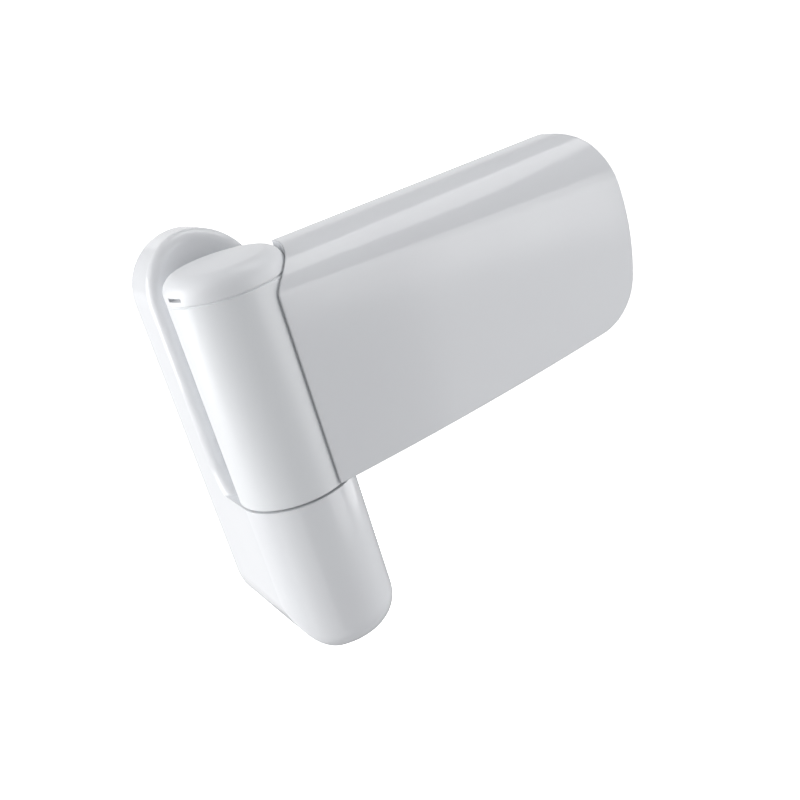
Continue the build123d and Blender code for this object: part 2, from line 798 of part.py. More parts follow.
# The lateral screw, held by its neck in the tongue's end and threaded through the lug
with BuildPart() as lateral_screw:
    with BuildSketch(lateral_front_plane):
        with BuildLine():
            Polyline(
                (collar_start, sash_middle),
                (collar_start, sash_middle + lateral_collar_radius),
                (collar_end, sash_middle + lateral_collar_radius),
                (collar_end, sash_middle + lateral_neck_radius),
                (lateral_thread_start, sash_middle + lateral_neck_radius),
                (lateral_thread_start, sash_middle + lateral_radius),
                (lateral_end - screw_chamfer, sash_middle + lateral_radius),
                (lateral_end, sash_middle + lateral_radius - screw_chamfer),
                (lateral_end, sash_middle),
                close=True,
            )
        make_face()
    revolve(axis=lateral_axis)
    with BuildSketch(lateral_screw.faces().sort_by(Axis.X)[-1]):
        RegularPolygon(lateral_hex / 2, 6, major_radius=False)
    extrude(amount=-lateral_hex_depth, mode=Mode.SUBTRACT)
lateral_screw.part.label = "lateral_screw"
export_step(lateral_screw.part, "parts/lateral_screw.step")
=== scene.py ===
import logging
import math
from dataclasses import dataclass, field
from enum import Enum
from typing import Any

import bmesh
import bpy
from mathutils import Matrix, Vector


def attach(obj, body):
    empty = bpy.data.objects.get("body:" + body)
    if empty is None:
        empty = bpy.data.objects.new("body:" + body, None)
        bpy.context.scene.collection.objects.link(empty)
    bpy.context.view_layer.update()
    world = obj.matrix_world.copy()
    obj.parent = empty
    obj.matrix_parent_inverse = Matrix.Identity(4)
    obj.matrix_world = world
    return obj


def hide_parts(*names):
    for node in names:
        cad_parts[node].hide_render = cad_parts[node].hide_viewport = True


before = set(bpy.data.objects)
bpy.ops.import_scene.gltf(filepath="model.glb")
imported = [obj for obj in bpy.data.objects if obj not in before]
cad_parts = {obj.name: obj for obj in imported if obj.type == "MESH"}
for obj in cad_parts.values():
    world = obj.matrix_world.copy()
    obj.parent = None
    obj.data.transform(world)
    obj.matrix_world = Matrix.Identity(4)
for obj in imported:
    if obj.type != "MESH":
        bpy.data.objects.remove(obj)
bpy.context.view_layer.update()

log = logging.getLogger("flag_hinge")

MM = 0.001
WELD_MM = 0.0005
CREASE = math.radians(28)
# The ISO tooth: where its corners lie along a pitch, and whether they are on the crest
TOOTH = ((0.0, False), (0.25, False), (0.5625, True), (0.6875, True), (1.0, False))
# The ISO tooth's depth as a share of the pitch, and the drill point's depth in the socket's
# floor as a share of the socket's half width
THREAD_DEPTH = 0.5413
DRILL_POINT = 0.2
# Turns that a thread is wound past its ends before it is trimmed
SPARE_TURNS = 2
SOCKET_SIDES = 6
SOCKET_SIDE_CUTS = 5


class Slot(Enum):
    """The record's material slots that the pieces take their finish from."""

    MOULDING = "moulded_white"
    POWDER_COAT = "white_powder_coat"
    CASTING = "zinc_casting"
    PLATE = "plated_steel"
    PIN = "pin_steel"
    ACETAL = "acetal"


class Body(Enum):
    """The CAD bodies that the new pieces ride on."""

    FRAME = "frame"
    HEIGHT_SCREW = "height_screw"
    FLAG = "flag"
    SASH_PLATE = "sash_plate"
    LATERAL_SCREW = "lateral_screw"


def linear_colour(hex_code: str) -> tuple[float, float, float, float]:
    """Turns an sRGB hex colour to the linear colour that Blender's sockets hold.

    Args:
        hex_code: six hex digits after a hash.

    Returns:
        Red, green and blue, linear, and an alpha of 1.
    """
    parts = [int(hex_code[i : i + 2], 16) / 255 for i in (1, 3, 5)]
    lit = [c / 12.92 if c <= 0.04045 else ((c + 0.055) / 1.055) ** 2.4 for c in parts]
    return (lit[0], lit[1], lit[2], 1.0)


def add_node(
    tree: bpy.types.NodeTree,
    kind: str,
    settings: dict[str, Any] | None = None,
    inputs: dict[str | int, Any] | None = None,
) -> bpy.types.Node:
    """Adds one shader node with its settings and its inputs.

    Args:
        tree: the node tree that the node joins.
        kind: the node's type, without its ShaderNode prefix.
        settings: the node's own settings, by name.
        inputs: by input, a constant or another node's output that is linked to it.

    Returns:
        The new node.
    """
    node = tree.nodes.new("ShaderNode" + kind)
    for name, value in (settings or {}).items():
        setattr(node, name, value)
    for key, value in (inputs or {}).items():
        if isinstance(value, bpy.types.NodeSocket):
            tree.links.new(value, node.inputs[key])
        else:
            node.inputs[key].default_value = value
    return node


@dataclass(frozen=True)
class Finish:
    """What all the finishes have in common: a shader, its constants and its surface."""

    name: str
    colour: str
    slot: Slot
    metallic: float = 0.0
    ior: float = 1.5

    def start(self) -> tuple[bpy.types.Material, bpy.types.Node, bpy.types.NodeSocket]:
        """Starts the material with its shader and its object coordinates.

        Returns:
            The material, its shader node and the socket of the coordinates.
        """
        material = bpy.data.materials.new(self.name)
        material.use_nodes = True
        tree = material.node_tree
        tree.nodes.clear()
        shader = add_node(
            tree,
            "BsdfPrincipled",
            inputs={
                "Base Color": linear_colour(self.colour),
                "Metallic": self.metallic,
                "IOR": self.ior,
            },
        )
        add_node(tree, "OutputMaterial", inputs={"Surface": shader.outputs["BSDF"]})
        place = add_node(tree, "TexCoord")
        return material, shader, place.outputs["Object"]

    def material(self) -> bpy.types.Material:
        """Builds the finish's material and returns it."""
        raise NotImplementedError


@dataclass(frozen=True)
class GlossMoulding(Finish):
    """White ASA, injection moulded in a polished tool.

    The gloss gives long highlights with clear edges along every bend. They waver a little,
    because the skin sinks by microns where the wall behind it changes, and the flow of the
    melt leaves faint clouds in the white.
    """

    name: str = "asa_white_gloss_moulded"
    colour: str = "#EFF1F3"
    slot: Slot = Slot.MOULDING
    cloud_colour: str = "#ECEDF0"
    ior: float = 1.52
    gloss: float = 0.09
    haze: float = 0.15
    ripple_mm: float = 5.0
    ripple_depth_mm: float = 0.004
    cloud_mm: float = 20.0
    cloud_span: tuple[float, float] = (0.2, 0.8)
    edge_mm: float = 0.35
    edge_samples: int = 4

    def material(self) -> bpy.types.Material:
        """Builds the moulding's colour clouds, haze and ripple.

        Returns:
            The material.
        """
        material, shader, place = self.start()
        tree = material.node_tree
        clouds = add_node(
            tree,
            "TexNoise",
            inputs={"Vector": place, "Scale": 1 / (self.cloud_mm * MM), "Detail": 1.0},
        )
        white = add_node(
            tree,
            "Mix",
            {"data_type": "RGBA"},
            {
                "Factor": clouds.outputs["Fac"],
                "A": linear_colour(self.colour),
                "B": linear_colour(self.cloud_colour),
            },
        )
        tree.links.new(white.outputs["Result"], shader.inputs["Base Color"])
        haze = add_node(
            tree,
            "MapRange",
            inputs={
                "Value": clouds.outputs["Fac"],
                "From Min": self.cloud_span[0],
                "From Max": self.cloud_span[1],
                "To Min": self.gloss,
                "To Max": self.haze,
            },
        )
        tree.links.new(haze.outputs["Result"], shader.inputs["Roughness"])
        edges = add_node(
            tree, "Bevel", {"samples": self.edge_samples}, {"Radius": self.edge_mm * MM}
        )
        ripple = add_node(
            tree,
            "TexNoise",
            inputs={"Vector": place, "Scale": 1 / (self.ripple_mm * MM), "Detail": 1.0},
        )
        skin = add_node(
            tree,
            "Bump",
            inputs={
                "Strength": 1.0,
                "Distance": self.ripple_depth_mm * MM,
                "Height": ripple.outputs["Fac"],
                "Normal": edges.outputs["Normal"],
            },
        )
        tree.links.new(skin.outputs["Normal"], shader.inputs["Normal"])
        return material


@dataclass(frozen=True)
class TexturedMoulding(GlossMoulding):
    """White ASA, moulded in a spark-eroded tool.

    The tool's fine texture makes the caps satin, so they show paler and flatter than the
    glossy covers. Its grain is drawn at 0.5 mm, because the real one is too fine to show.
    """

    name: str = "asa_white_textured_moulded"
    gloss: float = 0.34
    haze: float = 0.4
    ripple_mm: float = 0.5
    ripple_depth_mm: float = 0.006


@dataclass(frozen=True)
class PowderCoat(Finish):
    """White polyester powder, stoved onto the zinc casting.

    The film flows into an orange peel, a close dimple that breaks up the highlights and
    sets the casting apart from the smoother mouldings beside it.
    """

    name: str = "polyester_white_powder_coat"
    colour: str = "#EEF0F2"
    slot: Slot = Slot.POWDER_COAT
    ior: float = 1.5
    gloss: float = 0.3
    peel_mm: float = 1.3
    peel_depth_mm: float = 0.008
    swell_mm: float = 6.0
    swell_depth_mm: float = 0.01

    def material(self) -> bpy.types.Material:
        """Builds the coat's peel over its slower swell.

        Returns:
            The material.
        """
        material, shader, place = self.start()
        tree = material.node_tree
        shader.inputs["Roughness"].default_value = self.gloss
        swell = add_node(
            tree,
            "TexNoise",
            inputs={"Vector": place, "Scale": 1 / (self.swell_mm * MM), "Detail": 0.0},
        )
        under = add_node(
            tree,
            "Bump",
            inputs={
                "Strength": 1.0,
                "Distance": self.swell_depth_mm * MM,
                "Height": swell.outputs["Fac"],
            },
        )
        peel = add_node(
            tree,
            "TexNoise",
            inputs={"Vector": place, "Scale": 1 / (self.peel_mm * MM), "Detail": 1.0},
        )
        skin = add_node(
            tree,
            "Bump",
            inputs={
                "Strength": 1.0,
                "Distance": self.peel_depth_mm * MM,
                "Height": peel.outputs["Fac"],
                "Normal": under.outputs["Normal"],
            },
        )
        tree.links.new(skin.outputs["Normal"], shader.inputs["Normal"])
        return material


@dataclass(frozen=True)
class ZincCasting(Finish):
    """Bare zinc alloy, pressure die-cast and tumbled.

    Grey with a satin lustre: cold-flow marks cloud the shine a little, and the tumbled skin
    has a fine pitted grain.
    """

    name: str = "zinc_alloy_die_cast"
    colour: str = "#A9ACB0"
    slot: Slot = Slot.CASTING
    flow_colour: str = "#9DA0A5"
    metallic: float = 1.0
    shine: float = 0.42
    dull: float = 0.52
    flow_mm: float = 9.0
    flow_swirl: float = 0.3
    flow_span: tuple[float, float] = (0.3, 0.7)
    grain_mm: float = 0.45
    grain_depth_mm: float = 0.014

    def material(self) -> bpy.types.Material:
        """Builds the casting's flow marks and grain.

        Returns:
            The material.
        """
        material, shader, place = self.start()
        tree = material.node_tree
        flow = add_node(
            tree,
            "TexNoise",
            inputs={
                "Vector": place,
                "Scale": 1 / (self.flow_mm * MM),
                "Detail": 4.0,
                "Distortion": self.flow_swirl,
            },
        )
        grey = add_node(
            tree,
            "Mix",
            {"data_type": "RGBA"},
            {
                "Factor": flow.outputs["Fac"],
                "A": linear_colour(self.colour),
                "B": linear_colour(self.flow_colour),
            },
        )
        tree.links.new(grey.outputs["Result"], shader.inputs["Base Color"])
        satin = add_node(
            tree,
            "MapRange",
            inputs={
                "Value": flow.outputs["Fac"],
                "From Min": self.flow_span[0],
                "From Max": self.flow_span[1],
                "To Min": self.shine,
                "To Max": self.dull,
            },
        )
        tree.links.new(satin.outputs["Result"], shader.inputs["Roughness"])
        grain = add_node(
            tree,
            "TexNoise",
            inputs={"Vector": place, "Scale": 1 / (self.grain_mm * MM), "Detail": 2.0},
        )
        skin = add_node(
            tree,
            "Bump",
            inputs={
                "Strength": 1.0,
                "Distance": self.grain_depth_mm * MM,
                "Height": grain.outputs["Fac"],
            },
        )
        tree.links.new(skin.outputs["Normal"], shader.inputs["Normal"])
        return material


@dataclass(frozen=True)
class ZincPlate(Finish):
    """Turned or pressed steel, bright zinc plated and blue passivated.

    A clear cold shine with a faint blue and straw bloom, over the fine scratches that the
    plating barrel leaves.
    """

    name: str = "steel_bright_zinc_plated"
    colour: str = "#C3C8CE"
    slot: Slot = Slot.PLATE
    bloom_colour: str = "#C9C6B9"
    metallic: float = 1.0
    polish: float = 0.22
    bloom_mm: float = 7.0
    scratch_mm: float = 0.22
    scratch_stretch: float = 9.0
    scratch_turn: tuple[float, float, float] = (0.3, 0.5, 0.7)
    scratch_depth_mm: float = 0.004

    def material(self) -> bpy.types.Material:
        """Builds the plating's bloom and its barrel scratches.

        Returns:
            The material.
        """
        material, shader, place = self.start()
        tree = material.node_tree
        shader.inputs["Roughness"].default_value = self.polish
        bloom = add_node(
            tree,
            "TexNoise",
            inputs={"Vector": place, "Scale": 1 / (self.bloom_mm * MM), "Detail": 2.0},
        )
        tint = add_node(
            tree,
            "Mix",
            {"data_type": "RGBA"},
            {
                "Factor": bloom.outputs["Fac"],
                "A": linear_colour(self.colour),
                "B": linear_colour(self.bloom_colour),
            },
        )
        tree.links.new(tint.outputs["Result"], shader.inputs["Base Color"])
        along = add_node(
            tree,
            "Mapping",
            inputs={
                "Vector": place,
                "Rotation": self.scratch_turn,
                "Scale": (1.0, self.scratch_stretch, self.scratch_stretch),
            },
        )
        scratches = add_node(
            tree,
            "TexNoise",
            inputs={
                "Vector": along.outputs["Vector"],
                "Scale": 1 / (self.scratch_mm * self.scratch_stretch * MM),
                "Detail": 1.0,
            },
        )
        skin = add_node(
            tree,
            "Bump",
            inputs={
                "Strength": 1.0,
                "Distance": self.scratch_depth_mm * MM,
                "Height": scratches.outputs["Fac"],
            },
        )
        tree.links.new(skin.outputs["Normal"], shader.inputs["Normal"])
        return material


@dataclass(frozen=True)
class GroundSteel(Finish):
    """Hardened steel pin stock, centreless ground.

    A deep grey polish, with the wheel's fine rings round it. The rings are drawn at 0.16 mm,
    because their real pitch is too fine to show.
    """

    name: str = "steel_hardened_ground"
    colour: str = "#B4B6B8"
    slot: Slot = Slot.PIN
    metallic: float = 1.0
    polish: float = 0.16
    ring_mm: float = 0.16
    ring_stretch: float = 50.0
    ring_depth_mm: float = 0.0015

    def material(self) -> bpy.types.Material:
        """Builds the steel's grinding rings.

        Returns:
            The material.
        """
        material, shader, place = self.start()
        tree = material.node_tree
        shader.inputs["Roughness"].default_value = self.polish
        along = 1 / (self.ring_mm * MM)
        across = along / self.ring_stretch
        level = add_node(
            tree, "Mapping", inputs={"Vector": place, "Scale": (across, across, along)}
        )
        rings = add_node(
            tree,
            "TexNoise",
            inputs={"Vector": level.outputs["Vector"], "Scale": 1.0, "Detail": 2.0},
        )
        skin = add_node(
            tree,
            "Bump",
            inputs={
                "Strength": 1.0,
                "Distance": self.ring_depth_mm * MM,
                "Height": rings.outputs["Fac"],
            },
        )
        tree.links.new(skin.outputs["Normal"], shader.inputs["Normal"])
        return material


@dataclass(frozen=True)
class MouldedAcetal(Finish):
    """Natural acetal, injection moulded.

    Milky and waxy: light goes a little way in, and the skin has a dull sheen.
    """

    name: str = "acetal_natural_moulded"
    colour: str = "#E8E6DF"
    slot: Slot = Slot.ACETAL
    ior: float = 1.48
    sheen: float = 0.38
    milkiness: float = 0.3
    depth_mm: float = 0.6
    skin_mm: float = 0.8
    skin_depth_mm: float = 0.004

    def material(self) -> bpy.types.Material:
        """Builds the acetal's milky depth and its waxy skin.

        Returns:
            The material.
        """
        material, shader, place = self.start()
        tree = material.node_tree
        shader.inputs["Roughness"].default_value = self.sheen
        shader.inputs["Subsurface Weight"].default_value = self.milkiness
        shader.inputs["Subsurface Scale"].default_value = self.depth_mm * MM
        wax = add_node(
            tree,
            "TexNoise",
            inputs={"Vector": place, "Scale": 1 / (self.skin_mm * MM), "Detail": 2.0},
        )
        skin = add_node(
            tree,
            "Bump",
            inputs={
                "Strength": 1.0,
                "Distance": self.skin_depth_mm * MM,
                "Height": wax.outputs["Fac"],
            },
        )
        tree.links.new(skin.outputs["Normal"], shader.inputs["Normal"])
        return material


class Look(Enum):
    """The finishes that the pieces of the hinge take."""

    GLOSS_MOULDING = GlossMoulding()
    TEXTURED_MOULDING = TexturedMoulding()
    POWDER_COAT = PowderCoat()
    CASTING = ZincCasting()
    PLATE = ZincPlate()
    GROUND = GroundSteel()
    ACETAL = MouldedAcetal()


class Workshop:
    """Keeps one material for each look and gives it to the pieces."""

    def __init__(self) -> None:
        """Makes every look's material once."""
        self.materials: dict[Look, bpy.types.Material] = {
            look: look.value.material() for look in Look
        }

    def dress_node(self, node: str, look: Look) -> bpy.types.Object:
        """Gives a CAD node its finish.

        Args:
            node: the CAD node's name.
            look: the look that it takes.

        Returns:
            The node's object.
        """
        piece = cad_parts[node]
        for place in piece.material_slots:
            place.material = self.materials[look]
        return piece

    def new_piece(
        self, name: str, mesh: bmesh.types.BMesh, look: Look, body: Body, node: str
    ) -> bpy.types.Object:
        """Makes a finished mesh a piece that stands for a CAD node.

        Args:
            name: the piece's name.
            mesh: its mesh, in place, which is freed.
            look: the look that it takes.
            body: the body that it rides on.
            node: the CAD node that it replaces.

        Returns:
            The piece's object.
        """
        bmesh.ops.remove_doubles(mesh, verts=mesh.verts, dist=WELD_MM * MM)
        bmesh.ops.recalc_face_normals(mesh, faces=mesh.faces)
        for face in mesh.faces:
            face.smooth = True
        for edge in mesh.edges:
            edge.smooth = edge.calc_face_angle(0.0) < CREASE
        data = bpy.data.meshes.new(name)
        mesh.to_mesh(data)
        mesh.free()
        piece = bpy.data.objects.new(name, data)
        bpy.context.scene.collection.objects.link(piece)
        data.materials.append(self.materials[look])
        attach(piece, body.value)
        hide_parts(node)
        return piece


@dataclass(frozen=True)
class SocketScrew:
    """A screw with an ISO metric thread and a hexagon socket.

    It is built upright on the Z axis and then laid along its own axis. The steps are pairs of
    a radius and a level that carry its outline on from each end of the thread.
    """

    radius_mm: float
    pitch_mm: float
    thread_mm: tuple[float, float]
    socket_mm: float
    socket_depth_mm: float
    below: tuple[tuple[float, float], ...] = ()
    above: tuple[tuple[float, float], ...] = ()
    turn_steps: int = 36

    @property
    def root_mm(self) -> float:
        """The radius of the thread's root."""
        return self.radius_mm - THREAD_DEPTH * self.pitch_mm

    def build(self, place: Matrix) -> bmesh.types.BMesh:
        """Builds the screw and lays it in its place.

        Args:
            place: the turn and shift from the upright screw to its place, in millimetres.

        Returns:
            The screw's mesh, in metres.
        """
        mesh = bmesh.new()
        self.cut_thread(mesh)
        foot = self.carry_on(mesh, self.thread_mm[0], self.below)
        bmesh.ops.edgeloop_fill(mesh, edges=foot)
        head = self.carry_on(mesh, self.thread_mm[1], self.above)
        self.sink_socket(mesh, head)
        bmesh.ops.transform(mesh, matrix=Matrix.Scale(MM, 4) @ place, verts=mesh.verts)
        return mesh

    def cut_thread(self, mesh: bmesh.types.BMesh) -> None:
        """Winds one tooth's outline round the axis, rounds off its ends and trims them.

        Args:
            mesh: the mesh that the thread joins.
        """
        low, high = self.thread_mm
        start = low - self.pitch_mm
        reach = {True: self.radius_mm, False: self.root_mm}
        outline = [
            mesh.verts.new((reach[crest], 0.0, start + share * self.pitch_mm))
            for share, crest in TOOTH
        ]
        tooth = [mesh.edges.new(pair) for pair in zip(outline, outline[1:])]
        turns = math.ceil((high - low) / self.pitch_mm) + SPARE_TURNS
        bmesh.ops.spin(
            mesh,
            geom=outline + tooth,
            axis=(0, 0, 1),
            dvec=(0, 0, self.pitch_mm / self.turn_steps),
            angle=math.tau * turns,
            steps=self.turn_steps * turns,
        )
        bmesh.ops.remove_doubles(mesh, verts=mesh.verts, dist=WELD_MM)
        for vert in mesh.verts:
            room = max(0.0, min(vert.co.z - low, high - vert.co.z))
            shrink = min(1.0, (self.root_mm + room) / math.hypot(vert.co.x, vert.co.y))
            vert.co.x *= shrink
            vert.co.y *= shrink
        for level, side in ((low, -1), (high, 1)):
            bmesh.ops.bisect_plane(
                mesh,
                geom=mesh.verts[:] + mesh.edges[:] + mesh.faces[:],
                plane_co=(0, 0, level),
                plane_no=(0, 0, side),
                dist=WELD_MM,
                clear_outer=True,
            )

    @staticmethod
    def rim(mesh: bmesh.types.BMesh, level: float) -> list[bmesh.types.BMEdge]:
        """Finds the open edges at a level.

        Args:
            mesh: the screw's mesh.
            level: the height that they stand at.

        Returns:
            The edges.
        """
        return [
            edge
            for edge in mesh.edges
            if edge.is_boundary and all(abs(vert.co.z - level) < WELD_MM for vert in edge.verts)
        ]

    def carry_on(
        self, mesh: bmesh.types.BMesh, level: float, steps: tuple[tuple[float, float], ...]
    ) -> list[bmesh.types.BMEdge]:
        """Carries the screw's outline on from one end of its thread.

        Args:
            mesh: the screw's mesh.
            level: the level of the thread's end.
            steps: the radius and level of each next ring.

        Returns:
            The last ring's edges.
        """
        ring, radius = self.rim(mesh, level), self.root_mm
        for next_radius, next_level in steps:
            run = bmesh.ops.extrude_edge_only(mesh, edges=ring)["geom"]
            verts = [part for part in run if isinstance(part, bmesh.types.BMVert)]
            ring = [part for part in run if isinstance(part, bmesh.types.BMEdge)]
            share = next_radius / radius
            bmesh.ops.scale(mesh, verts=verts, vec=(share, share, 1))
            bmesh.ops.translate(mesh, verts=verts, vec=(0, 0, next_level - level))
            radius, level = next_radius, next_level
        return ring

    def sink_socket(self, mesh: bmesh.types.BMesh, ring: list[bmesh.types.BMEdge]) -> None:
        """Closes the head's end round a hexagon socket with a drilled floor.

        Args:
            mesh: the screw's mesh.
            ring: the open ring at the head's end.
        """
        level = ring[0].verts[0].co.z
        corner = self.socket_mm / math.sqrt(3)
        spot = Matrix.Translation((0, 0, level))
        bmesh.ops.create_circle(mesh, segments=SOCKET_SIDES, radius=corner, matrix=spot)
        hexagon = [edge for edge in mesh.edges if edge.is_wire]
        bmesh.ops.subdivide_edges(mesh, edges=hexagon, cuts=SOCKET_SIDE_CUTS)
        hexagon = [edge for edge in mesh.edges if edge.is_wire]
        bmesh.ops.bridge_loops(mesh, edges=ring + hexagon)
        run = bmesh.ops.extrude_edge_only(mesh, edges=hexagon)["geom"]
        verts = [part for part in run if isinstance(part, bmesh.types.BMVert)]
        edges = [part for part in run if isinstance(part, bmesh.types.BMEdge)]
        bmesh.ops.translate(mesh, verts=verts, vec=(0, 0, -self.socket_depth_mm))
        floor = bmesh.ops.edgeloop_fill(mesh, edges=edges)["faces"]
        drilled = bmesh.ops.poke(mesh, faces=floor)["verts"]
        bmesh.ops.translate(mesh, verts=drilled, vec=(0, 0, -DRILL_POINT * self.socket_mm / 2))


@dataclass
class SubAssembly:
    """A group of pieces that ride together, with the look of each."""

    workshop: Workshop
    nodes: dict[str, Look] = field(default_factory=dict)

    def build(self) -> list[bpy.types.Object]:
        """Dresses the group's CAD nodes, adds its new pieces and returns them all."""
        dressed = [self.workshop.dress_node(node, look) for node, look in self.nodes.items()]
        return dressed + self.new_pieces()

    def new_pieces(self) -> list[bpy.types.Object]:
        """Builds the pieces that stand for CAD nodes, and returns them."""
        return []


@dataclass
class FrameLeaf(SubAssembly):
    """The leaf that is screwed to the door frame, with its cover and its lower knuckle."""

    nodes: dict[str, Look] = field(
        default_factory=lambda: {
            "frame_bracket": Look.CASTING,
            "frame_cover": Look.GLOSS_MOULDING,
            "barrel_bush": Look.ACETAL,
            "bottom_plug": Look.TEXTURED_MOULDING,
        }
    )
    lock_screw: SocketScrew = SocketScrew(
        radius_mm=2.5, pitch_mm=0.8, thread_mm=(0.0, 5.0), socket_mm=2.5, socket_depth_mm=2.0
    )
    lock_screw_mm: tuple[float, float, float] = (-4.0, -24.0, -8.5)

    def new_pieces(self) -> list[bpy.types.Object]:
        """Builds the grub screw that holds the pin.

        Returns:
            The piece, in a list.
        """
        place = Matrix.Translation(self.lock_screw_mm) @ Matrix.Rotation(-math.pi / 2, 4, "Y")
        mesh = self.lock_screw.build(place)
        name = "pin_lock_grub_screw"
        return [self.workshop.new_piece(name, mesh, Look.PLATE, Body.FRAME, "pin_lock_screw")]


@dataclass
class PinAndAdjuster(SubAssembly):
    """The hinge pin and the screw under it that lifts the door."""

    nodes: dict[str, Look] = field(default_factory=lambda: {"hinge_pin": Look.GROUND})
    lift_screw: SocketScrew = SocketScrew(
        radius_mm=4.0, pitch_mm=1.0, thread_mm=(0.0, 7.0), socket_mm=4.0, socket_depth_mm=3.5
    )
    lift_screw_mm: tuple[float, float, float] = (0.0, -24.0, -16.55)

    def new_pieces(self) -> list[bpy.types.Object]:
        """Builds the screw that carries the pin.

        Returns:
            The piece, in a list.
        """
        place = Matrix.Translation(self.lift_screw_mm) @ Matrix.Rotation(math.pi, 4, "X")
        mesh = self.lift_screw.build(place)
        name = "threaded_height_screw"
        return [self.workshop.new_piece(name, mesh, Look.PLATE, Body.HEIGHT_SCREW, "height_screw")]


@dataclass
class Flag(SubAssembly):
    """The flag: its powder-coated casting, the bushes in its knuckle, its cap and cover."""

    nodes: dict[str, Look] = field(
        default_factory=lambda: {
            "flag_arm": Look.POWDER_COAT,
            "lower_bush": Look.ACETAL,
            "upper_bush": Look.ACETAL,
            "thrust_disc": Look.GROUND,
            "top_cap": Look.TEXTURED_MOULDING,
            "flag_cover": Look.GLOSS_MOULDING,
        }
    )
    knuckle_plug: SocketScrew = SocketScrew(
        radius_mm=7.0,
        pitch_mm=1.0,
        thread_mm=(0.0, 3.0),
        socket_mm=6.0,
        socket_depth_mm=2.0,
        turn_steps=48,
    )
    knuckle_plug_mm: tuple[float, float, float] = (0.0, -24.0, 37.3)

    def new_pieces(self) -> list[bpy.types.Object]:
        """Builds the threaded plug that closes the knuckle under its cap.

        Returns:
            The piece, in a list.
        """
        mesh = self.knuckle_plug.build(Matrix.Translation(self.knuckle_plug_mm))
        name = "threaded_knuckle_plug"
        return [self.workshop.new_piece(name, mesh, Look.PLATE, Body.FLAG, "top_plug")]


@dataclass
class SashLeaf(SubAssembly):
    """The plate screwed to the sash, its clamp screws and the screw that shifts it."""

    nodes: dict[str, Look] = field(
        default_factory=lambda: {"sash_plate": Look.PLATE, "clamp_washers": Look.PLATE}
    )
    clamp_screw: SocketScrew = SocketScrew(
        radius_mm=3.0,
        pitch_mm=1.0,
        thread_mm=(-1.7, 5.3),
        socket_mm=4.0,
        socket_depth_mm=1.6,
        above=((3.0, 5.5), (3.0, 5.8), (4.8, 5.8), (5.0, 6.0), (5.0, 8.0), (4.6, 8.4)),
    )
    clamp_columns_mm: tuple[float, float] = (30.0, 53.0)
    shift_screw: SocketScrew = SocketScrew(
        radius_mm=2.5,
        pitch_mm=0.8,
        thread_mm=(71.1, 82.6),
        socket_mm=2.5,
        socket_depth_mm=3.0,
        below=((1.6, 71.1), (1.6, 67.4), (2.5, 67.4), (2.7, 67.2), (2.7, 65.6), (2.5, 65.4)),
    )
    shift_screw_front_mm: float = 28.6
    middle_level_mm: float = 24.0
    pin_setback_mm: float = 24.0

    def new_pieces(self) -> list[bpy.types.Object]:
        """Builds the two clamp screws and the lateral screw.

        Returns:
            The pieces.
        """
        clamps = bmesh.new()
        for column in self.clamp_columns_mm:
            spot = Matrix.Translation((column, -self.pin_setback_mm, self.middle_level_mm))
            screw = self.clamp_screw.build(spot @ Matrix.Rotation(math.pi / 2, 4, "X"))
            part = bpy.data.meshes.new("clamp_screw")
            screw.to_mesh(part)
            screw.free()
            clamps.from_mesh(part)
            bpy.data.meshes.remove(part)
        spot = Matrix.Translation((0, -self.shift_screw_front_mm, self.middle_level_mm))
        shift = self.shift_screw.build(spot @ Matrix.Rotation(math.pi / 2, 4, "Y"))
        add = self.workshop.new_piece
        return [
            add("threaded_clamp_screws", clamps, Look.PLATE, Body.SASH_PLATE, "clamp_screws"),
            add("threaded_lateral_screw", shift, Look.PLATE, Body.LATERAL_SCREW, "lateral_screw"),
        ]


@dataclass(frozen=True)
class SoftBox:
    """One oblong studio light, aimed at the object from a bearing and an elevation.

    Both are in degrees. The bearing is 0 in front of the object and grows towards its left.
    """

    name: str
    bearing: float
    elevation: float
    watts: float
    width_mm: float = 550.0
    height_mm: float = 550.0
    distance_mm: float = 900.0
    aim_mm: tuple[float, float, float] = (35.0, -20.0, 10.0)
    colour: str = "#FFFFFF"

    def build(self) -> None:
        """Makes the light, hangs it in its place and aims it."""
        lamp = bpy.data.lights.new(self.name, "AREA")
        lamp.shape = "RECTANGLE"
        lamp.size = self.width_mm * MM
        lamp.size_y = self.height_mm * MM
        lamp.energy = self.watts
        lamp.color = linear_colour(self.colour)[:3]
        box = bpy.data.objects.new(self.name, lamp)
        bpy.context.scene.collection.objects.link(box)
        round_, up = math.radians(self.bearing), math.radians(self.elevation)
        flat = math.cos(up)
        out = Vector((-math.sin(round_) * flat, -math.cos(round_) * flat, math.sin(up)))
        box.location = (Vector(self.aim_mm) + out * self.distance_mm) * MM
        box.rotation_euler = (-out).to_track_quat("-Z", "Y").to_euler()


